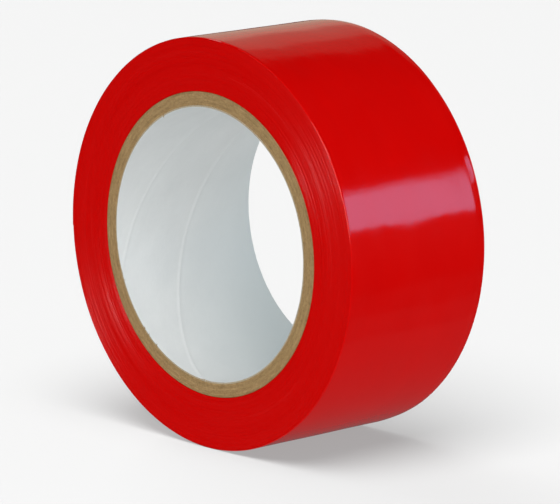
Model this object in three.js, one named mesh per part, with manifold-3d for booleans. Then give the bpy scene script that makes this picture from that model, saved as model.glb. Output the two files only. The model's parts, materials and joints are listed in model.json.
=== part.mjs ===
// Roll of wide PVC insulating tape wound on a spiral cardboard core.
// Millimetres, +Z up. The roll stands on its rim with its axis along Y and the bore's centre at 0, 0, 0.
import * as THREE from 'three';
import { mergeVertices } from 'three/addons/utils/BufferGeometryUtils.js';
import Module from 'manifold-3d';

// Roll
const ROLL_WIDTH = 50;
const ROLL_DIAMETER = 114.3;
const CORE_DIAMETER = 84.5;
const BORE_DIAMETER = 76.2;
const FACETS = 72;

// Wound tape
const TURN_PITCH = 0.142;
const LAST_TURN_CLEARANCE = 0.012;
const FILM = TURN_PITCH - LAST_TURN_CLEARANCE;
const TAPE_END_DEG = 182.5;
const TAIL_PIECES = 12;
const TAIL_HINGE_GAP = 0.06;
const LAST_TURN_START_GAP = 0.04;
const PACK_ON_CORE_GAP = 0.02;

// Cardboard core: a white paper liner inside, then kraft board plies
const LINER_THICKNESS = 0.35;
const PLY_COUNT = 6;
const PLY_GAP = 0.02;
const SEAM_DEG_PER_MM = -3.115;
const LINER_SEAM_DEG = 190.5;
const SEAM_STAGGER_DEG = -68.5;
const LINER_SEAM_GAP = 0.3;
const PLY_SEAM_GAP = 0.4;
const SEAM_CUT_STEPS = 16;

// Colours
const TAPE_RED = 0xc10601;
const KRAFT = 0x98825b;
const LINER_WHITE = 0xc8ced0;

const wasm = await Module();
wasm.setup();

const RAD = Math.PI / 180;
const FACET_DEG = 360 / FACETS;
const CORNER = 1 / Math.cos((FACET_DEG / 2) * RAD);
const ROLL_RADIUS = ROLL_DIAMETER / 2;
const CORE_RADIUS = CORE_DIAMETER / 2;
const BORE_RADIUS = BORE_DIAMETER / 2;
const TAIL_START = FACETS - TAIL_PIECES;

// Winding positions count facet corners from the last turn's first corner (0) to the tape's cut end (FACETS).
const cornerAngle = (k) => (TAPE_END_DEG + (k - FACETS) * FACET_DEG) * RAD;

// A point at a distance from the axis, measured to the flat of the facet. Between corners it lies on the facet.
function windingPoint(flatRadius, k) {
  const low = Math.floor(k);
  const part = k - low;
  const corner = (n) => {
    const r = flatRadius(n) * CORNER;
    return new THREE.Vector2(r * Math.cos(cornerAngle(n)), r * Math.sin(cornerAngle(n)));
  };
  return part === 0 ? corner(low) : corner(low).lerp(corner(low + 1), part);
}

// Outer face of the last turn: the spiral grows by one pitch over the turn.
const lastTurnOuter = (k) => ROLL_RADIUS - (TURN_PITCH * (FACETS - k)) / FACETS;
const lastTurnInner = (k) => lastTurnOuter(k) - FILM;
const lastTurnMiddle = (k) => lastTurnOuter(k) - FILM / 2;
const packOuter = (k) => lastTurnOuter(k) - TURN_PITCH;

// Profiles are drawn across the roll and run its full width.
function acrossRoll(shape) {
  const geometry = new THREE.ExtrudeGeometry(shape, { depth: ROLL_WIDTH, bevelEnabled: false });
  geometry.rotateX(Math.PI / 2);
  geometry.translate(0, ROLL_WIDTH / 2, 0);
  return geometry;
}

function ringPoints(flatRadius) {
  const points = [];
  for (let k = 0; k < FACETS; k += 1) points.push(windingPoint(() => flatRadius, k));
  return points;
}

function tube(innerRadius, outerRadius) {
  const shape = new THREE.Shape(ringPoints(outerRadius));
  shape.holes.push(new THREE.Path(ringPoints(innerRadius)));
  return acrossRoll(shape);
}

function toManifold(geometry) {
  const bare = geometry.clone();
  for (const name of Object.keys(bare.attributes)) {
    if (name !== 'position') bare.deleteAttribute(name);
  }
  const merged = mergeVertices(bare, 1e-5);
  return new wasm.Manifold(new wasm.Mesh({
    numProp: 3,
    vertProperties: new Float32Array(merged.attributes.position.array),
    triVerts: new Uint32Array(merged.index.array),
  }));
}

function toGeometry(solid) {
  const mesh = solid.getMesh();
  const geometry = new THREE.BufferGeometry();
  geometry.setAttribute('position', new THREE.BufferAttribute(new Float32Array(mesh.vertProperties), 3));
  geometry.setIndex(new THREE.BufferAttribute(new Uint32Array(mesh.triVerts), 1));
  return geometry;
}

// A thin radial blade that winds round the core as it crosses it, for the open joint between strip edges.
function seamBlade(innerRadius, outerRadius, gap, phaseDeg) {
  const reach = outerRadius - innerRadius + 2;
  const length = ROLL_WIDTH + 2;
  const blade = new THREE.BoxGeometry(reach, length, gap, 1, SEAM_CUT_STEPS, 1);
  blade.translate((innerRadius + outerRadius) / 2, 0, 0);
  const position = blade.attributes.position;
  const point = new THREE.Vector3();
  const axis = new THREE.Vector3(0, 1, 0);
  for (let i = 0; i < position.count; i += 1) {
    point.fromBufferAttribute(position, i);
    point.applyAxisAngle(axis, -(phaseDeg + SEAM_DEG_PER_MM * point.y) * RAD);
    position.setXYZ(i, point.x, point.y, point.z);
  }
  return blade;
}

// One spiral-wound strip of the core: a tube with its helical butt joint open.
function spiralStrip(innerRadius, outerRadius, gap, phaseDeg) {
  const whole = toManifold(tube(innerRadius, outerRadius));
  const blade = toManifold(seamBlade(innerRadius, outerRadius, gap, phaseDeg));
  return toGeometry(whole.subtract(blade));
}

// Every turn below the last one. Its outside is a spiral with a step one turn high at the tape's end.
function windingPack() {
  const outline = [];
  for (let k = 0; k <= FACETS; k += 1) outline.push(windingPoint(packOuter, k));
  const shape = new THREE.Shape(outline);
  shape.holes.push(new THREE.Path(ringPoints(CORE_RADIUS + PACK_ON_CORE_GAP)));
  return acrossRoll(shape);
}

// The last turn as far as the root of the tail.
function lastTurn() {
  const start = LAST_TURN_START_GAP / (ROLL_RADIUS * FACET_DEG * RAD);
  const stations = [start];
  for (let k = 1; k <= TAIL_START; k += 1) stations.push(k);
  const outside = stations.map((k) => windingPoint(lastTurnOuter, k));
  const inside = stations.map((k) => windingPoint(lastTurnInner, k)).reverse();
  return acrossRoll(new THREE.Shape([...outside, ...inside]));
}

// A flat length of the tail between two facet corners, with a small gap at each end for the fold.
function tailPiece(k) {
  const from = windingPoint(lastTurnMiddle, k);
  const to = windingPoint(lastTurnMiddle, k + 1);
  const along = to.clone().sub(from);
  const centre = from.clone().add(to).multiplyScalar(0.5);
  const geometry = new THREE.BoxGeometry(along.length() - TAIL_HINGE_GAP, ROLL_WIDTH, FILM);
  geometry.rotateY(-along.angle());
  geometry.translate(centre.x, 0, centre.y);
  return geometry;
}

function addPiece(group, name, geometry, color, roughness) {
  const material = new THREE.MeshStandardMaterial({ color, roughness, metalness: 0 });
  const mesh = new THREE.Mesh(geometry, material);
  mesh.name = name;
  group.add(mesh);
}

const roll = new THREE.Group();
roll.name = 'tape_roll';

const linerOuter = BORE_RADIUS + LINER_THICKNESS;
const liner = spiralStrip(BORE_RADIUS, linerOuter, LINER_SEAM_GAP, LINER_SEAM_DEG);
addPiece(roll, 'core_liner', liner, LINER_WHITE, 0.7);

const plyPitch = (CORE_RADIUS - linerOuter) / PLY_COUNT;
for (let i = 1; i <= PLY_COUNT; i += 1) {
  const outerRadius = linerOuter + plyPitch * i;
  const innerRadius = outerRadius - plyPitch + PLY_GAP;
  const phaseDeg = LINER_SEAM_DEG + SEAM_STAGGER_DEG * i;
  addPiece(roll, `core_ply_${i}`, spiralStrip(innerRadius, outerRadius, PLY_SEAM_GAP, phaseDeg), KRAFT, 0.9);
}

addPiece(roll, 'tape_pack', windingPack(), TAPE_RED, 0.35);
addPiece(roll, 'tape_last_turn', lastTurn(), TAPE_RED, 0.25);
for (let i = 0; i < TAIL_PIECES; i += 1) {
  const name = `tape_tail_${String(i + 1).padStart(2, '0')}`;
  addPiece(roll, name, tailPiece(TAIL_START + i), TAPE_RED, 0.25);
}

export default roll;
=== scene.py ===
"""Looks for the roll of wide PVC insulating tape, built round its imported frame.

The frame is in metres, +Z up. The roll stands on its rim with its axis along Y. Its shapes are worked out
in millimetres and scaled when a mesh is made. Angles round the roll go from +X towards +Z. A side is -1 for
the roll's front face, at -Y, and 1 for its back face.
"""

import json
import math

import bpy
import numpy as np
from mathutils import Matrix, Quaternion, Vector


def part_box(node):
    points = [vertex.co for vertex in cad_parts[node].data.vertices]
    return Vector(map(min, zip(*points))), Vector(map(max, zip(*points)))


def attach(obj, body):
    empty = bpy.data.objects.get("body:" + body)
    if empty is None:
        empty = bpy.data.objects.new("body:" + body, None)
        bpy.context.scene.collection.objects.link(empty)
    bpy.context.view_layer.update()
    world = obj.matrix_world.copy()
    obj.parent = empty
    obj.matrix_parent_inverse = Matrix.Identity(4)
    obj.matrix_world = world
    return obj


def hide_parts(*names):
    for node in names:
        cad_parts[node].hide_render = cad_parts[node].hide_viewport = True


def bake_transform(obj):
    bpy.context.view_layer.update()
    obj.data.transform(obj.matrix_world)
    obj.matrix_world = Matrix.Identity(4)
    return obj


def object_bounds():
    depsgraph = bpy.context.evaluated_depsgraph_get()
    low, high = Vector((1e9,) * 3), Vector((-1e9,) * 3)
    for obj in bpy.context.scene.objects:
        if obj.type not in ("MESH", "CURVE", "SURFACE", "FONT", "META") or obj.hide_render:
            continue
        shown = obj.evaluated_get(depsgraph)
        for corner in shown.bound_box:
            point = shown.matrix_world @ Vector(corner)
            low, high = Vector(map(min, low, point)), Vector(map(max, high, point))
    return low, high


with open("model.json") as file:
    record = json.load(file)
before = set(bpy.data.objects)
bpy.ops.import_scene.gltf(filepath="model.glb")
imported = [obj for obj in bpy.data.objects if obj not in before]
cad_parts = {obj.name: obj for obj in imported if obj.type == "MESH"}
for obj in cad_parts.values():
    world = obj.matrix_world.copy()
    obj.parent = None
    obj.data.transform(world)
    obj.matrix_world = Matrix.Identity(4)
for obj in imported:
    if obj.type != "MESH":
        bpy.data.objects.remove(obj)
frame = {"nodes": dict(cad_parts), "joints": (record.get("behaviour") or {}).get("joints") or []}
cad_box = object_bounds()

MM = 0.001
RNG = np.random.default_rng(41)
PHASES = 6.28  # the edges' waves draw their phases from this span, just short of a full turn

# ---------------------------------------------------------------- sizes, from the frame

FACETS = 72
FACET = math.tau / FACETS
# The round surface's radius over that of the facet corners that stand for it.
ROUND = (1 + math.cos(FACET / 2)) / 2
FILM = 0.130  # with its adhesive
PITCH = 0.142  # from one turn to the next
LINER_SEAM = math.radians(190.5)
SEAM_TWIST = math.radians(-3.115)  # how far a core seam turns for each mm along the axis
SEAM_STAGGER = math.radians(-68.5)  # from one layer's seam to the next one's
PLIES = 6


def corner_radii(node):
    """Least and greatest distance from the axis of a node's corners, in mm."""
    co = np.array([v.co for v in frame["nodes"][node].data.vertices])
    r = np.hypot(co[:, 0], co[:, 2]) / MM
    return r.min(), r.max()


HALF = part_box("tape_pack")[1].y / MM  # half the roll's width
HINGES = [np.array(j["pos_m"]) / MM for j in frame["joints"]]
TAIL_PIECES = len(HINGES)
TAIL_ANGLE = math.atan2(HINGES[0][2], HINGES[0][0])
END_ANGLE = TAIL_ANGLE + TAIL_PIECES * FACET
START_ANGLE = END_ANGLE - math.tau
END_RADIUS = (np.hypot(HINGES[-1][0], HINGES[-1][2]) + FILM / 2 + PITCH / FACETS) * ROUND
CORE_RADIUS = corner_radii("core_ply_6")[1] * ROUND
LINER_OUT = corner_radii("core_liner")[1] * ROUND
BORE_RADIUS = corner_radii("core_liner")[0] * ROUND
PLY_PITCH = (CORE_RADIUS - LINER_OUT) / PLIES

# The slant of the core's strips, and the distance across a strip for each radian round the core.
HELIX_ANGLE = math.atan(1 / (BORE_RADIUS * abs(SEAM_TWIST)))
ACROSS_STRIP = BORE_RADIUS * math.sin(HELIX_ANGLE)


def smooth(x, lo, hi):
    """0 below lo, 1 above hi, and a soft step between."""
    t = np.clip((np.asarray(x, float) - lo) / (hi - lo), 0, 1)
    return t * t * (3 - 2 * t)


# ---------------------------------------------------------------- meshes


class Shell:
    """A closed mesh made of grids that meet along their borders."""

    def __init__(self):
        self.points, self.quads, self.uvs, self.slots = [], [], [], []
        self.count = 0

    def grid(self, points, uv, slot=0, flip=False):
        """Adds a grid of quads. points is (a, b, 3) in mm, and uv is (a, b, 2).

        Seen with a to the right and b up, it faces the viewer, and with flip it faces away.
        """
        a, b = points.shape[:2]
        index = np.arange(a * b).reshape(a, b)
        corners = (index[:-1, :-1], index[1:, :-1], index[1:, 1:], index[:-1, 1:])
        quads = np.stack(corners, -1).reshape(-1, 4)
        if flip:
            quads = quads[:, ::-1]
        self.uvs.append(uv.reshape(-1, 2)[quads])
        self.quads.append(quads + self.count)
        self.points.append(points.reshape(-1, 3))
        self.slots.append(np.full(len(quads), slot))
        self.count += a * b

    def piece(self, name, materials, sharp_deg=35, flat_slots=()):
        """Welds the borders and makes the object. Faces of the flat slots aren't smoothed."""
        co = np.concatenate(self.points)
        quads = np.concatenate(self.quads)
        uvs = np.concatenate(self.uvs)
        slots = np.concatenate(self.slots)
        _, first, back = np.unique(np.round(co, 4), axis=0, return_index=True, return_inverse=True)
        quads = back.reshape(-1)[quads]
        faces, face_uvs, face_slots = [], [], []
        for quad, uv, slot in zip(quads.tolist(), uvs.tolist(), slots.tolist()):
            keep = [i for i in range(4) if quad[i] != quad[i - 1]]
            if len(keep) > 2 and len({quad[i] for i in keep}) == len(keep):
                faces.append([quad[i] for i in keep])
                face_uvs.extend(uv[i] for i in keep)
                face_slots.append(slot)
        mesh = bpy.data.meshes.new(name)
        mesh.from_pydata((co[first] * MM).tolist(), [], faces)
        layer = mesh.uv_layers.new(name="lay")
        layer.data.foreach_set("uv", np.array(face_uvs, np.float32).ravel())
        mesh.polygons.foreach_set("material_index", np.array(face_slots, np.int32))
        mesh.polygons.foreach_set("use_smooth", ~np.isin(face_slots, flat_slots))
        for m in materials:
            mesh.materials.append(m)
        mesh.validate()
        mesh.set_sharp_from_angle(angle=math.radians(sharp_deg))
        obj = bpy.data.objects.new(name, mesh)
        bpy.context.scene.collection.objects.link(obj)
        return obj


def place(r, phi, y):
    """Points at distances r from the axis, angles phi and places y along it, all broadcast together."""
    r, phi, y = np.broadcast_arrays(r, phi, y)
    return np.stack([r * np.cos(phi), y, r * np.sin(phi)], -1)


def pair(u, v):
    """A mesh's lay, from its two coordinates broadcast together."""
    u, v = np.broadcast_arrays(u, v)
    return np.stack([u, v], -1)


# ---------------------------------------------------------------- shader building


class Shader:
    """A Principled material whose patterns read the mesh's own lay of the material, in mm."""

    def __init__(self, name, specular):
        self.material = bpy.data.materials.new(name)
        self.material.use_nodes = True
        self.tree = self.material.node_tree
        self.bsdf = self.tree.nodes["Principled BSDF"]
        self.bsdf.inputs["Specular IOR Level"].default_value = specular
        self.lay = self.node("ShaderNodeUVMap")
        self.lay.uv_map = "lay"

    def node(self, kind, inputs=None):
        made = self.tree.nodes.new(kind)
        for name, value in (inputs or {}).items():
            made.inputs[name].default_value = value
        return made

    def link(self, out, into):
        self.tree.links.new(out, into)

    def noise(self, scale, stretch=(1, 1), detail=3.0, rough=0.5, shift=0.0):
        """Noise of scale features per mm, with each direction's scale multiplied by stretch."""
        setting = {"Scale": (*stretch, 1), "Location": (shift, shift, shift)}
        mapping = self.node("ShaderNodeMapping", setting)
        made = self.node("ShaderNodeTexNoise", {"Scale": scale, "Detail": detail, "Roughness": rough})
        self.link(self.lay.outputs["UV"], mapping.inputs["Vector"])
        self.link(mapping.outputs["Vector"], made.inputs["Vector"])
        return made.outputs["Fac"]

    def across(self):
        """The lay's second coordinate."""
        made = self.node("ShaderNodeSeparateXYZ")
        self.link(self.lay.outputs["UV"], made.inputs["Vector"])
        return made.outputs["Y"]

    def remap(self, value, lo, hi, to_lo, to_hi):
        """lo to hi becomes to_lo to to_hi, and what lies outside is held at the ends."""
        ends = {"From Min": lo, "From Max": hi, "To Min": to_lo, "To Max": to_hi}
        made = self.node("ShaderNodeMapRange", ends)
        self.link(value, made.inputs["Value"])
        return made.outputs["Result"]

    def mix(self, factor, a, b):
        """Colour a to b. a and b are colours or sockets."""
        made = self.node("ShaderNodeMix")
        made.data_type = "RGBA"
        # The node has same-named sockets for each kind of data: 0 is the factor, 6 and 7 are the colours.
        self.link(factor, made.inputs[0])
        for socket, value in ((made.inputs[6], a), (made.inputs[7], b)):
            if isinstance(value, tuple):
                socket.default_value = (*value, 1)
            else:
                self.link(value, socket)
        return made.outputs[2]

    def add(self, a, b, weight):
        """a plus weight times b."""
        made = self.node("ShaderNodeMath")
        made.operation = "MULTIPLY_ADD"
        self.link(b, made.inputs[0])
        made.inputs[1].default_value = weight
        self.link(a, made.inputs[2])
        return made.outputs[0]

    def bump(self, height, distance_mm):
        """Relief that the pattern's full height raises by the given distance."""
        made = self.node("ShaderNodeBump", {"Distance": distance_mm * MM})
        self.link(height, made.inputs["Height"])
        self.link(made.outputs["Normal"], self.bsdf.inputs["Normal"])

    def colour(self, socket):
        self.link(socket, self.bsdf.inputs["Base Color"])

    def roughness(self, socket):
        self.link(socket, self.bsdf.inputs["Roughness"])


def film_material():
    """Glossy red PVC backing: calendered film, so its faint lines run along the tape."""
    s = Shader("pvc_film", 0.38)
    cloud = s.noise(0.05, (1, 1.6), 3)
    lines = s.noise(0.9, (0.012, 1), 3, 0.6)
    tone = s.remap(s.add(cloud, lines, 0.35), 0.4, 0.95, 0, 1)
    s.colour(s.mix(tone, (0.565, 0.0006, 0.0003), (0.600, 0.0008, 0.0004)))
    grain = s.noise(1.7, (1, 1), 2)
    haze = s.noise(0.08, (1, 2), 2)
    s.roughness(s.remap(s.add(grain, haze, 1.4), 0.8, 1.6, 0.085, 0.14))
    hollows = s.noise(0.3, (1, 1), 2)
    s.bump(s.add(hollows, lines, 0.10), 0.028)
    return s.material


def edge_material():
    """The tape's cut edges, turn on turn: dull red, with every few turns a little lighter or darker."""
    s = Shader("tape_edges", 0.035)
    turns = s.noise(3.2, (0.006, 1), 2, 0.6)
    bands = s.noise(0.55, (0.03, 1), 3, 0.6, 7.0)
    tone = s.remap(s.add(bands, turns, 0.6), 0.5, 1.1, 0, 1)
    s.colour(s.mix(tone, (0.498, 0.0006, 0.0002), (0.520, 0.0008, 0.0003)))
    s.roughness(s.remap(bands, 0.3, 0.7, 0.20, 0.28))
    nicks = s.noise(1.6, (0.6, 1.0), 3)
    s.bump(s.add(turns, nicks, 1.2), 0.007)
    return s.material


def adhesive_material():
    """The rubber adhesive on the film's inner side: the same red, duller and a little darker."""
    s = Shader("tape_adhesive", 0.4)
    blotch = s.noise(0.35, (1, 1), 4, 0.6)
    s.colour(s.mix(s.remap(blotch, 0.35, 0.65, 0, 1), (0.41, 0.006, 0.004), (0.47, 0.010, 0.007)))
    s.roughness(s.remap(s.noise(1.2, (0.3, 1), 3), 0.3, 0.7, 0.38, 0.6))
    grain = s.noise(3.0, (0.5, 1), 2)
    s.bump(s.add(blotch, grain, 0.3), 0.03)
    return s.material


BOARD_TONES = (1.0, 0.93, 1.04, 0.96, 1.03, 0.95)
BOARD_LIGHT = (0.372, 0.246, 0.112)
BOARD_DARK = (0.212, 0.132, 0.054)
BOARD_FLECK = (0.15, 0.095, 0.042)


def board_material(index):
    """Kraft board, cut across its ply. Each ply has a tone and a grain of its own."""
    s = Shader(f"kraft_board_{index}", 0.15)
    tone = BOARD_TONES[index - 1]
    light = tuple(tone * c for c in BOARD_LIGHT)
    dark = tuple(tone * c for c in BOARD_DARK)
    fibres = s.noise(1.5, (0.8, 1), 4, 0.75, 3.1 * index)
    flecks = s.noise(1.5, (1, 1), 4, 0.8, 9.7 * index)
    pulp = s.noise(0.35, (1, 1), 3, 0.6, 1.3 * index)
    base = s.mix(s.remap(s.add(fibres, pulp, 0.8), 0.6, 1.15, 0, 1), dark, light)
    s.colour(s.mix(s.remap(flecks, 0.56, 0.70, 0, 0.7), base, BOARD_FLECK))
    s.roughness(s.remap(fibres, 0.3, 0.7, 0.78, 0.95))
    s.bump(s.add(fibres, flecks, 0.5), 0.09)
    return s.material


def paper_material():
    """White paper liner: smooth and cloudy, with a greyer, bluer painted shade a third of the way across.
    """
    s = Shader("liner_paper", 0.25)
    cloud = s.noise(0.07, (1, 1.5), 4, 0.6)
    fibre = s.noise(1.6, (0.5, 1), 4, 0.6)
    tone = s.remap(s.add(cloud, fibre, 0.4), 0.45, 0.95, 0, 1)
    base = s.mix(tone, (0.675, 0.692, 0.690), (0.735, 0.750, 0.746))
    # Painted shade: a greyer, bluer band that rises from the seam to a third of the way across, then fades.
    across = s.across()
    grey = s.add(s.remap(across, 0, 30, 0.05, 1), s.remap(across, 36, 66, 0, 1), -1.0)
    s.colour(s.mix(grey, base, (0.605, 0.660, 0.670)))
    s.roughness(s.remap(fibre, 0.3, 0.7, 0.5, 0.68))
    hollows = s.noise(0.12, (0.6, 1), 3)
    s.bump(s.add(hollows, fibre, 0.10), 0.05)
    return s.material


def paper_edge_material():
    """The liner's cut edge: raw grey-brown pulp under the white face."""
    s = Shader("liner_paper_edge", 0.15)
    grain = s.noise(2.2, (1, 1), 3, 0.7)
    s.colour(s.mix(s.remap(grain, 0.3, 0.7, 0, 1), (0.30, 0.24, 0.16), (0.44, 0.38, 0.28)))
    s.bsdf.inputs["Roughness"].default_value = 0.8
    return s.material


FILM_LOOK = film_material()
EDGE_LOOK = edge_material()
ADHESIVE_LOOK = adhesive_material()
BOARD_LOOKS = [board_material(i) for i in range(1, PLIES + 1)]

# ---------------------------------------------------------------- the wound tape's surface

# Waves in the tread: height, waves round the roll, radians for each mm along the axis, and phase.
RELIEF = [
    (0.011 / (1 + 0.06 * n), n, RNG.uniform(-0.28, 0.28), RNG.uniform(0, math.tau))
    for n in (2, 3, 5, 6, 8, 9, 11, 13, 14, 17, 19, 22)
]
# Shallow dents: angle, place along the axis, reach and depth. The last two lie close to the back rim.
DENTS = [
    (RNG.uniform(0, math.tau), RNG.uniform(-20, 20), RNG.uniform(2.5, 5.0), RNG.uniform(0.012, 0.03))
    for _ in range(60)
]
DENTS += [(math.radians(17), 19.5, 1.6, 0.03), (math.radians(22), 21.0, 1.4, 0.03)]
# More waves, which only the tread near the back rim has.
RIM_RIPPLES = [(0.0045, n, RNG.uniform(0.8, 1.6), RNG.uniform(0, math.tau)) for n in (7, 12, 18, 27)]

# A slack length of tape: where it lies, how deep it sinks and how far it reaches round the roll.
SLACK_ANGLE = math.radians(13.3)
SLACK_DEPTH = 0.085
SLACK_REACH = 4.0

# The front rim's round and the back rim's slope, across the tread.
FRONT_ROUND = 0.42
BACK_BEVEL = 2.6

# Stations across the tread, close together at its rims.
ACROSS = np.concatenate([
    -HALF + np.array([0, 0.05, 0.11, 0.18, 0.27, FRONT_ROUND, 0.8]),
    np.arange(-HALF + 2, HALF - 3.2, 1.5),
    HALF - np.array([3.0, 2.5, 2.2, 1.9, 1.5, 1.1, 0.7, 0.35, 0.12, 0]),
])
# The lay of the tape's sides, in mm for each radian round the roll.
SIDE_LAY = 50


def arc_from(phi, start):
    """Distance round the tread from the angle start, in mm, the short way."""
    return ((phi - start + math.pi) % math.tau - math.pi) * END_RADIUS


def waves(table, phi, y):
    """The sum of a table's waves."""
    return sum(a * np.sin(n * phi + q * y + c) for a, n, q, c in table)


def relief(phi, y):
    """How far the tread stands from a true round, in mm."""
    phi, y = np.broadcast_arrays(phi, y)
    total = waves(RELIEF, phi, y) + smooth(y, HALF - 11, HALF - 4) * waves(RIM_RIPPLES, phi, y)
    for dent_phi, dent_y, reach, depth in DENTS:
        total = total - depth * np.exp(-(arc_from(phi, dent_phi) ** 2 + (y - dent_y) ** 2) / reach**2)
    # The slack length sinks slowly from the front and ends short at a faint crease.
    slack = np.exp(-((arc_from(phi, SLACK_ANGLE) / SLACK_REACH) ** 2))
    slack = slack * smooth(y, -15, -3) * (1 - smooth(y, 1.2, 3.6))
    return total - SLACK_DEPTH * slack


def rim_drop(y):
    """The fall of the tread at its rims: a tight round at the front, a long slope at the back."""
    front = np.clip((FRONT_ROUND - (y + HALF)) / FRONT_ROUND, 0, 1)
    back = np.clip((BACK_BEVEL - (HALF - y)) / BACK_BEVEL, 0, 1)
    return 0.20 * front**2 + 0.15 * back + 0.09 * back**4


def turn_radius(phi):
    """Outer face of the last turn at an angle between START_ANGLE and END_ANGLE."""
    return END_RADIUS - PITCH * (END_ANGLE - phi) / math.tau


def end_lift(phi):
    """How far the cut end has let go of the roll."""
    return 0.05 * smooth(phi, END_ANGLE - math.radians(2.2), END_ANGLE)


def film_strip(name, phi_from, phi_to, steps):
    """A closed length of film between two angles of the last turn."""
    phi = np.linspace(phi_from, phi_to, steps + 1)[:, None]
    y = ACROSS[None, :]
    outer_r = turn_radius(phi) + relief(phi, y) - rim_drop(y) + end_lift(phi)
    outer = place(outer_r, phi, y)
    inner = place(outer_r - FILM, phi, y)
    lay = pair(phi * END_RADIUS, y)
    s = Shell()
    s.grid(outer, lay, 0, flip=True)
    s.grid(inner, lay, 1)
    for j, flip in ((0, True), (-1, False)):
        rim = np.stack([inner[:, j], outer[:, j]], 1)
        s.grid(rim, pair(phi * SIDE_LAY, np.array([[END_RADIUS - FILM, END_RADIUS]])), 2, flip=flip)
    for i, flip in ((0, False), (-1, True)):
        end = np.stack([inner[i], outer[i]], 1)
        s.grid(end, pair(y[0][:, None], np.array([[0, FILM]])), 2, flip=flip)
    return s.piece(name, [FILM_LOOK, ADHESIVE_LOOK, EDGE_LOOK], sharp_deg=50)


# The last turn runs from a hair past the pack's step to half a facet short of the first hinge.
START_GAP = 0.0008
last_turn = film_strip("last_turn", START_ANGLE + START_GAP, TAIL_ANGLE - FACET / 2, 240)
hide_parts("tape_last_turn")
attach(last_turn, "roll")

# Each length of the tail spans the hinge at its middle. The last one runs on to the cut end.
FILM_MIDDLE = END_RADIUS - FILM / 2
for i in range(TAIL_PIECES):
    is_last = i == TAIL_PIECES - 1
    begin = TAIL_ANGLE + (i - 0.5) * FACET
    until = begin + FACET * (1.5 if is_last else 1)
    strip = film_strip(f"tail_{i + 1:02d}", begin, until, 16 if is_last else 10)
    start = tuple(place(FILM_MIDDLE, begin, 0.0) * MM)
    end = tuple(place(FILM_MIDDLE, begin + FACET, 0.0) * MM)
    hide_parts(f"tape_tail_{i + 1:02d}")
    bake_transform(strip)

# ---------------------------------------------------------------- the windings under the last turn

PACK_TURNS = 104
PACK_STEPS = 208
PACK_ON_CORE_GAP = 0.02
GROOVE = 0.024  # between two turns
EDGE_WANDER = 0.005  # how far the turns' edges drift over some turns
EDGE_JITTER = 0.006  # and from one part of a turn to the next
KNOTS_IN_TURN = 3
FALL_REACH = 0.16  # the depth of pack over which the edges fall back, at the tread and at the core
FRONT_FALL, BACK_FALL, CORE_FALL = 0.07, 0.05, 0.16
CORE_SEAT = 0.18  # how far below the face the tape's side meets the core
RELIEF_REACH = 1.6  # how deep into the pack the tread's relief is felt


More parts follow.
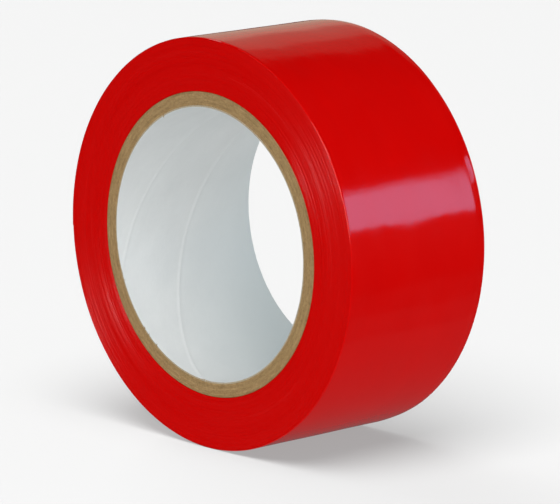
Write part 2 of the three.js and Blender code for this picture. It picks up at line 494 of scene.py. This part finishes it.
def build_windings():
    """One spiral strip: each turn's edge stands between two grooves, and no two turns lie quite level."""
    inner = CORE_RADIUS + PACK_ON_CORE_GAP
    outer_start = turn_radius(START_ANGLE) - PITCH
    # The pack's own pitch is a hair off the nominal one, so that a whole number of turns fits on the core.
    # Its outermost turns ease over to the nominal one.
    pitch = (outer_start - inner) / PACK_TURNS
    rows = 2 * PACK_TURNS + 2
    # u is the share of a turn, and h counts half turns from the tread down to the core.
    u = np.linspace(0, 1, PACK_STEPS + 1)[:, None]
    phi = START_ANGLE + math.tau * u
    h = np.arange(rows)[None, :]
    radius = outer_start + pitch * u - pitch * h / 2 + (PITCH - pitch) * u * np.exp(-h / 8.0)
    radius[:, -1] = (radius[:, -2] + inner) / 2
    depth = outer_start + pitch * u - radius
    winding = h / 2 - u
    # Slow drifts of the edges: turns in a wave, waves round the roll, and phase.
    drifts = [(RNG.uniform(3.5, 15), int(RNG.integers(0, 4)), RNG.uniform(0, PHASES)) for _ in range(10)]

    def edge_level(tread_fall):
        """How far each turn's edge stands back from the face, along the spiral."""
        # winding runs from -1 to PACK_TURNS + 0.5, and the knots reach past it at both ends.
        jitter = RNG.normal(0, EDGE_JITTER, KNOTS_IN_TURN * (PACK_TURNS + 3))
        at = (winding + 1.5) * KNOTS_IN_TURN
        low = np.floor(at).astype(int)
        t = smooth(at - low, 0, 1)
        level = jitter[low] * (1 - t) + jitter[low + 1] * t
        for wave, n, c in drifts:
            level = level + EDGE_WANDER * np.sin(math.tau * winding / wave + n * phi + c)
        level = level + np.where(h % 2 == 0, GROOVE, 0.0)
        level = level + tread_fall * np.exp(-depth / FALL_REACH)
        return level + CORE_FALL * np.exp(-(radius - inner) / FALL_REACH)

    s = Shell()

    def side_face(side, tread_fall):
        """A side of the pack: the turns' edges, and last the ring that meets the core."""
        rim = side * HALF
        r = radius + (relief(phi, rim) - rim_drop(rim)) * np.exp(-depth / RELIEF_REACH)
        r = np.concatenate([r, np.full((PACK_STEPS + 1, 1), inner)], 1)
        y = side * (HALF - edge_level(tread_fall))
        y = np.concatenate([y, np.full((PACK_STEPS + 1, 1), side * (HALF - CORE_SEAT))], 1)
        lay = pair(SIDE_LAY * np.abs(phi - START_ANGLE - math.pi), r)
        # The spiral ends where it began, one turn down.
        r[0, rows - 2 : rows], y[0, rows - 2 : rows] = inner, y[0, rows]
        r[-1, 2:rows], y[-1, 2:rows] = r[0, : rows - 2], y[0, : rows - 2]
        points = place(r, phi, y)
        s.grid(points, lay, 1, flip=side > 0)
        return points

    front = side_face(-1, FRONT_FALL)
    back = side_face(1, BACK_FALL)

    across = ACROSS[None, 1:-1]
    tread = place(turn_radius(phi) - PITCH + relief(phi, across) - rim_drop(across), phi, across)
    tread = np.concatenate([front[:, :1], tread, back[:, :1]], 1)
    s.grid(tread, pair(phi * END_RADIUS, ACROSS[None, :]), 0, flip=True)

    share = np.linspace(0, 1, 6)[None, :, None]
    core_side = front[:, -1:] * (1 - share) + back[:, -1:] * share
    s.grid(core_side, pair(phi * inner, share[:, :, 0] * 2 * HALF), 1)

    # The step where the last turn leaves the pack, between the last turn's seat and the one below it.
    middle = (tread[0] + tread[-1]) / 2
    middle[0], middle[-1] = front[-1, 1], back[-1, 1]
    step = np.stack([tread[0], middle, tread[-1]], 1)
    s.grid(step, pair(ACROSS[:, None], np.array([[0, FILM / 2, FILM]])), 1, flip=True)
    return s.piece("windings", [FILM_LOOK, EDGE_LOOK], sharp_deg=40, flat_slots=(1,))


windings = build_windings()
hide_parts("tape_pack")
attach(windings, "roll")

# ---------------------------------------------------------------- the cardboard core

LINER_GAP = math.radians(0.16)
PLY_SEAM_GAP = math.radians(0.2)
PLY_GAP = 0.012
EDGE_INSET = 0.03  # the core's cut ends stand this far back from the tape's sides
CREST, CREST_REACH = 0.19, 0.55  # the liner's edge at its joint
IMPRINT, IMPRINT_REACH = 0.11, 0.45  # the joint of the ply beneath, as the liner shows it
CUT_WEAR = 0.013
CREVICE = 0.2  # how far the outermost ply falls away at the tape


def spiral_strip(name, looks, seam, gap, around, along, shares, inner_at, outer_at, edge_at):
    """A strip wound on a helix: closed, with its two long edges facing across the seam.

    around counts the steps round it, along holds its stations along the axis, and shares those through its
    thickness. inner_at and outer_at give radii from the angle past the seam and the place along the axis.
    edge_at gives how far a cut end stands back, from the angle, the share of the thickness and the side.
    """
    y = along[None, :]
    past = gap / 2 + np.linspace(0, 1, around + 1)[:, None] * (math.tau - gap)
    phi = seam + SEAM_TWIST * y + past
    inner_r = inner_at(past, y)
    outer_r = outer_at(past, y)
    t = np.array(shares)[None, :]
    s = Shell()
    ends = {}
    for j, side in ((0, -1), (-1, 1)):
        end_phi = phi[:, [j]]
        r = inner_r[:, [j]] * (1 - t) + outer_r[:, [j]] * t
        ends[side] = place(r, end_phi, side * (HALF - edge_at(end_phi, t, side)))
        s.grid(ends[side], pair(end_phi * BORE_RADIUS, r), len(looks) - 1, flip=side < 0)
    inner = place(inner_r, phi, y)
    outer = place(outer_r, phi, y)
    for surface, row in ((inner, 0), (outer, -1)):
        surface[:, 0] = ends[-1][:, row]
        surface[:, -1] = ends[1][:, row]
    lay = pair(phi * BORE_RADIUS, past * ACROSS_STRIP)
    s.grid(inner, lay, 0)
    s.grid(outer, lay, 0, flip=True)
    through = t[0][None, :, None]
    for i, flip in ((0, False), (-1, True)):
        edge = inner[i][:, None] * (1 - through) + outer[i][:, None] * through
        edge[0], edge[-1] = ends[-1][i], ends[1][i]
        s.grid(edge, pair(along[:, None], t), 0, flip=flip)
    return s.piece(name, looks, sharp_deg=40)


def along_stations(step):
    """Stations along the core, close together at its cut ends."""
    inner = np.arange(-HALF + 1.2, HALF - 1.1, step)
    return np.concatenate([[-HALF, -HALF + 0.15, -HALF + 0.5], inner, [HALF - 0.5, HALF - 0.15, HALF]])


def even(radius):
    """A face of a strip that has the same radius all over."""
    return lambda past, y: np.full(np.broadcast(past, y).shape, radius)


def liner_inside(past, y):
    """The liner's white face: its edges ride up at the joint, and the joint of the ply beneath shows."""
    after = past * ACROSS_STRIP
    before = math.tau * ACROSS_STRIP - after
    rise = CREST * np.exp(-((before / CREST_REACH) ** 2))
    rise = rise + 0.5 * CREST * np.exp(-((after / CREST_REACH) ** 2))
    under = (after - (math.tau + SEAM_STAGGER) * ACROSS_STRIP) / IMPRINT_REACH
    rise = rise + IMPRINT * np.exp(-under * under)
    drift = 0.03 * np.sin(2 * past + 0.05 * y) + 0.02 * np.sin(5 * past - 0.11 * y + 1.0)
    return BORE_RADIUS - rise + drift


def liner_edge(phi, t, side):
    """How far the liner's cut end stands back: worn round, and a little wavy."""
    return EDGE_INSET + 0.03 * (2 * t - 1) ** 2 + 0.012 * np.sin(37 * phi + side) + 0.01 * np.sin(83 * phi)


def ply_edge(index):
    """How far a ply's cut end stands back: worn round, and rough with small chips along the ring."""
    rng = np.random.default_rng(100 + index)
    wear = [
        (CUT_WEAR / (1 + 0.02 * n), n, rng.uniform(0, PHASES), rng.uniform(-4, 4))
        for n in (9, 23, 41, 67, 88, 113, 139)
    ]
    crevice = CREVICE if index == PLIES else 0.0

    def at(phi, t, side):
        round_off = 0.05 * np.abs(2 * t - 1) ** 3
        falls_away = crevice * np.clip((t - 0.62) / 0.38, 0, 1) ** 2
        rough = sum(a * np.sin(n * phi + c + q * t + side) for a, n, c, q in wear)
        return EDGE_INSET + round_off + falls_away + (rough - CUT_WEAR)

    return at


liner = spiral_strip(
    "liner", [paper_material(), paper_edge_material()], LINER_SEAM, LINER_GAP,
    around=460, along=along_stations(0.7), shares=(0, 0.3, 0.7, 1),
    inner_at=liner_inside, outer_at=even(LINER_OUT), edge_at=liner_edge,
)
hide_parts("core_liner")
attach(liner, "roll")

for i in range(1, PLIES + 1):
    ply_out = LINER_OUT + PLY_PITCH * i
    ply = spiral_strip(
        f"core_ply_board_{i}", [BOARD_LOOKS[i - 1]], LINER_SEAM + SEAM_STAGGER * i, PLY_SEAM_GAP,
        around=360, along=along_stations(1.5), shares=(0, 0.12, 0.35, 0.65, 0.88, 1),
        inner_at=even(ply_out - PLY_PITCH + PLY_GAP), outer_at=even(ply_out), edge_at=ply_edge(i),
    )
    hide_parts(f"core_ply_{i}")
    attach(ply, "roll")

# Tufts of loose fibre: the side, and the angles in degrees.
TUFTS = ((-1, (203, 226, 230, 236, 118)), (1, (40, 148, 300)))
FIBRES_IN_TUFT = 3
FIBRE_SIDES = 5
FIBRE_RINGS = 6


def fibre_tube(phi, side, rng):
    """A curled fibre that stands out from the core's inner edge: a tapering tube, closed at both ends."""
    root = place(LINER_OUT + 0.12, phi, side * (HALF - 0.1))
    inward, outward = -place(1.0, phi, 0.0), np.array([0, side, 0])
    along = place(1.0, phi + math.pi / 2, 0.0)
    length, thick = rng.uniform(0.8, 1.5), rng.uniform(0.1, 0.17)
    lean = rng.uniform(-0.7, 0.7)
    t = np.linspace(0, 1, FIBRE_RINGS)[:, None]
    spine = root + length * (t * inward + t**2 * lean * along + t * (1 - 0.6 * t) * 0.3 * outward)
    turn = np.linspace(0, math.tau, FIBRE_SIDES + 1)[None, :, None]
    taper = (thick * (1.02 - t))[:, :, None]
    tube = spine[:, None] + taper * (np.cos(turn) * along + np.sin(turn) * outward)
    tube = np.concatenate([spine[:1, None] + 0 * tube[:1], tube, spine[-1:, None] + 0 * tube[:1]])
    tube[:, -1] = tube[:, 0]
    return tube


def cut_fibres():
    """Loose paper fibres where the core was cut, on both sides."""
    rng = np.random.default_rng(7)
    lay = pair(np.linspace(0, math.tau, FIBRE_SIDES + 1)[None], np.arange(FIBRE_RINGS + 2)[:, None])
    s = Shell()
    for side, angles in TUFTS:
        for angle in angles:
            for _ in range(FIBRES_IN_TUFT):
                s.grid(fibre_tube(math.radians(angle), side, rng), lay, flip=side > 0)
    return s.piece("core_cut_fibres", [BOARD_LOOKS[0]])


fibres = cut_fibres()
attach(fibres, "roll")

# ---------------------------------------------------------------- the stage

FLOOR_Z = cad_box[0].z
OPEN_FLOOR = 0.925  # the open floor's radiance under its lights, which the backdrop matches
STAGE_SIDES = 96
FLOOR_RINGS = (0.1, 0.2, 0.35, 0.6, 1.0, 1.8, 3.2, 6.0)
FLOOR_GREY, FLOOR_GLOW = 0.06, 0.37
BACKDROP_REACH = 5.9
BACKDROP_TOP = 8.0


def stage_ring(reach, z):
    """The points of a level ring round the object."""
    angles = [math.tau * i / STAGE_SIDES for i in range(STAGE_SIDES)]
    return [(reach * math.cos(a), reach * math.sin(a), z) for a in angles]


def ring_faces(first, second):
    """Quads between two rings, from the place of each ring's first point."""
    following = [(i + 1) % STAGE_SIDES for i in range(STAGE_SIDES)]
    return [(first + i, second + i, second + j, first + j) for i, j in enumerate(following)]


def stage_piece(name, points, faces, grey, glow):
    """A matt surface with a glow of its own. The roll neither mirrors it nor takes light from it."""
    mesh = bpy.data.meshes.new(name)
    mesh.from_pydata(points, [], faces)
    material = bpy.data.materials.new(f"{name}_paper")
    material.use_nodes = True
    bsdf = material.node_tree.nodes["Principled BSDF"]
    bsdf.inputs["Base Color"].default_value = (grey, grey, grey, 1)
    bsdf.inputs["Roughness"].default_value = 0.9
    bsdf.inputs["Specular IOR Level"].default_value = 0.0
    bsdf.inputs["Emission Color"].default_value = (1, 1, 1, 1)
    bsdf.inputs["Emission Strength"].default_value = glow
    mesh.materials.append(material)
    obj = bpy.data.objects.new(name, mesh)
    bpy.context.scene.collection.objects.link(obj)
    obj.visible_glossy = False
    obj.visible_diffuse = False
    return obj


def build_floor():
    """A wide pale floor that runs out under the backdrop."""
    points = [(0, 0, FLOOR_Z)]
    for reach in FLOOR_RINGS:
        points += stage_ring(reach, FLOOR_Z)
    faces = [(0, 1 + i, 1 + (i + 1) % STAGE_SIDES) for i in range(STAGE_SIDES)]
    for ring in range(len(FLOOR_RINGS) - 1):
        first = 1 + ring * STAGE_SIDES
        faces += ring_faces(first, first + STAGE_SIDES)
    return stage_piece("floor", points, faces, FLOOR_GREY, FLOOR_GLOW)


def build_backdrop():
    """A pale wall far behind, all round. Only the camera sees it: it neither lights nor shades the roll."""
    points = stage_ring(BACKDROP_REACH, FLOOR_Z) + stage_ring(BACKDROP_REACH, BACKDROP_TOP)
    wall = stage_piece("backdrop", points, ring_faces(STAGE_SIDES, 0), 0.0, OPEN_FLOOR)
    wall.visible_transmission = False
    wall.visible_shadow = False


def collection_of(name, piece):
    """A collection that holds one piece, for the lights that light only that one."""
    group = bpy.data.collections.new(name)
    bpy.context.scene.collection.children.link(group)
    group.objects.link(piece)
    return group


floor_only = collection_of("floor_only", build_floor())
windings_only = collection_of("windings_only", windings)
build_backdrop()

# An even pale sky, which nothing mirrors.
world = bpy.data.worlds.new("studio")
bpy.context.scene.world = world
world.use_nodes = True
background = world.node_tree.nodes["Background"]
background.inputs["Color"].default_value = (0.985, 1.0, 1.0, 1)
background.inputs["Strength"].default_value = 0.47
world.cycles_visibility.glossy = False

# ---------------------------------------------------------------- lights

SUN_WIDTH = math.radians(50)
# How far the soft boxes and glints, the windows and the room's walls are from the roll.
BOXES_AT, WINDOWS_AT, WALLS_AT = 1.3, 1.5, 2.2
WHITE = (1, 1, 1)
SKY = (0.2, 0.6, 1.0)
PALE_WALL = (1.0, 1.0, 0.78)


def toward(azimuth, elevation):
    """Unit vector from the object towards a light or the camera. Azimuth 0 is -Y, 90 is +X."""
    a, e = math.radians(azimuth), math.radians(elevation)
    return Vector((math.sin(a) * math.cos(e), -math.cos(a) * math.cos(e), math.sin(e)))


def light_object(name, light):
    obj = bpy.data.objects.new(name, light)
    obj.rotation_mode = "QUATERNION"
    bpy.context.scene.collection.objects.link(obj)
    return obj


def soft_light(name, sees, size, radiance, colour=WHITE):
    """An area light. sees is the one kind of reflection that shows it, diffuse or glossy."""
    light = bpy.data.lights.new(name, "AREA")
    light.shape = "RECTANGLE"
    light.size, light.size_y = size
    light.energy = radiance * math.pi * size[0] * size[1]
    light.color = colour
    obj = light_object(name, light)
    obj.visible_camera = False
    obj.visible_diffuse = sees == "diffuse"
    obj.visible_glossy = sees == "glossy"
    return obj


def panel(name, sees, azimuth, elevation, distance, size, radiance, colour=WHITE, roll=0):
    """A soft light that faces the object."""
    obj = soft_light(name, sees, size, radiance, colour)
    obj.location = toward(azimuth, elevation) * distance
    turn = Quaternion((0, 0, 1), math.radians(roll))
    obj.rotation_quaternion = (-obj.location).to_track_quat("-Z", "Y") @ turn
    return obj


def table_panel(name, sees, reach, radiance, z):
    """A square soft light that lies level under the object and faces up."""
    obj = soft_light(name, sees, (reach, reach), radiance)
    obj.location = (0, 0, z)
    obj.rotation_quaternion = Vector((0, 0, 1)).to_track_quat("-Z", "Y")


def floor_sun(name, azimuth, elevation, energy):
    """A wide sun that only the floor takes."""
    sun = bpy.data.lights.new(name, "SUN")
    sun.energy = energy
    sun.angle = SUN_WIDTH
    obj = light_object(name, sun)
    obj.rotation_quaternion = toward(azimuth, elevation).to_track_quat("Z", "Y")
    obj.light_linking.receiver_collection = floor_only


# The floor has lights of its own and takes little from the rest, so the red of the roll hardly tints it.
floor_sun("floor_light_high", 38, 68, 24.0)
floor_sun("floor_light_low", 255, 12, 19.5)

# The soft light of the room: azimuth, elevation and radiance.
SOFT_BOXES = (
    (45, 8, 1.8), (45, 35, 2.7), (45, 65, 2.5),
    (0, 8, 1.5), (0, 35, 1.0),
    (90, 8, 1.1), (135, 8, 1.1),
)
for azimuth, elevation, radiance in SOFT_BOXES:
    panel(f"soft_box_{azimuth}_{elevation}", "diffuse", azimuth, elevation, BOXES_AT, (0.7, 0.6), radiance)

# Glints: a long box in the line that the grooves between turns mirror, one that the front rim mirrors, and
# four high ones for the roll as the other views show it.
groove_glint = panel("groove_glint", "glossy", -4, 11, BOXES_AT, (0.18, 0.9), 42.0, roll=-61)
groove_glint.light_linking.receiver_collection = windings_only
panel("rim_glint", "glossy", 60, 32, BOXES_AT, (0.2, 1.4), 8.0)
for azimuth, elevation in ((27, 42), (90, 48), (270, 48), (333, 42)):
    panel(f"ring_glint_{azimuth}", "glossy", azimuth, elevation, BOXES_AT, (0.6, 0.14), 3.0)

# The windows that the tread mirrors as a bright band with a fainter edge, and the back rim as a glint.
panel("band_main", "glossy", 128, 13.7, WINDOWS_AT, (0.5, 0.365), 4.5, SKY)
panel("band_soft", "glossy", 128, 21.6, WINDOWS_AT, (0.5, 0.05), 1.9, SKY)
panel("bevel_glint", "glossy", 146, 19.4, WINDOWS_AT, (0.16, 0.22), 4.2, SKY)

# The room's pale walls, as the tread shows them at a graze: one behind the roll and one in front of it.
# They fade upwards, in three bands: elevation, height and radiance.
for azimuth in (205, 15):
    for elevation, height, radiance in ((9, 0.75, 0.48), (25, 0.5, 0.30), (35, 0.3, 0.13)):
        name = f"wall_{azimuth}_{elevation}"
        panel(name, "glossy", azimuth, elevation, WALLS_AT, (2.4, height), radiance, PALE_WALL)

# The pale table, as the underside of the roll mirrors it, brightest close by, and takes its light.
for i, (reach, radiance) in enumerate(((0.32, 0.03), (0.22, 0.04), (0.165, 0.04))):
    table_panel(f"table_glow_{i}", "glossy", reach, radiance, FLOOR_Z - 0.002 - 0.0005 * i)
table_panel("table_bounce", "diffuse", 0.9, 0.42, FLOOR_Z + 0.0003)

# ---------------------------------------------------------------- camera

CAMERA_AZIMUTH = 47.24
CAMERA_ELEVATION = 11.08
CAMERA_DISTANCE = 1.2651
AIM_RIGHT, AIM_UP = 0.00144, -0.00521  # where the camera points, from the bore's centre

camera_data = bpy.data.cameras.new("camera")
camera_data.lens = 293.5
camera_data.sensor_width = 36
camera = bpy.data.objects.new("camera", camera_data)
bpy.context.scene.collection.objects.link(camera)
back = toward(CAMERA_AZIMUTH, CAMERA_ELEVATION)
right = toward(CAMERA_AZIMUTH + 90, 0)
up = back.cross(right)
camera.location = back * CAMERA_DISTANCE
target = right * AIM_RIGHT + up * AIM_UP
camera.rotation_mode = "QUATERNION"
camera.rotation_quaternion = (camera.location - target).to_track_quat("Z", "Y")
bpy.context.scene.camera = camera
bpy.context.scene.view_settings.view_transform = "Standard"
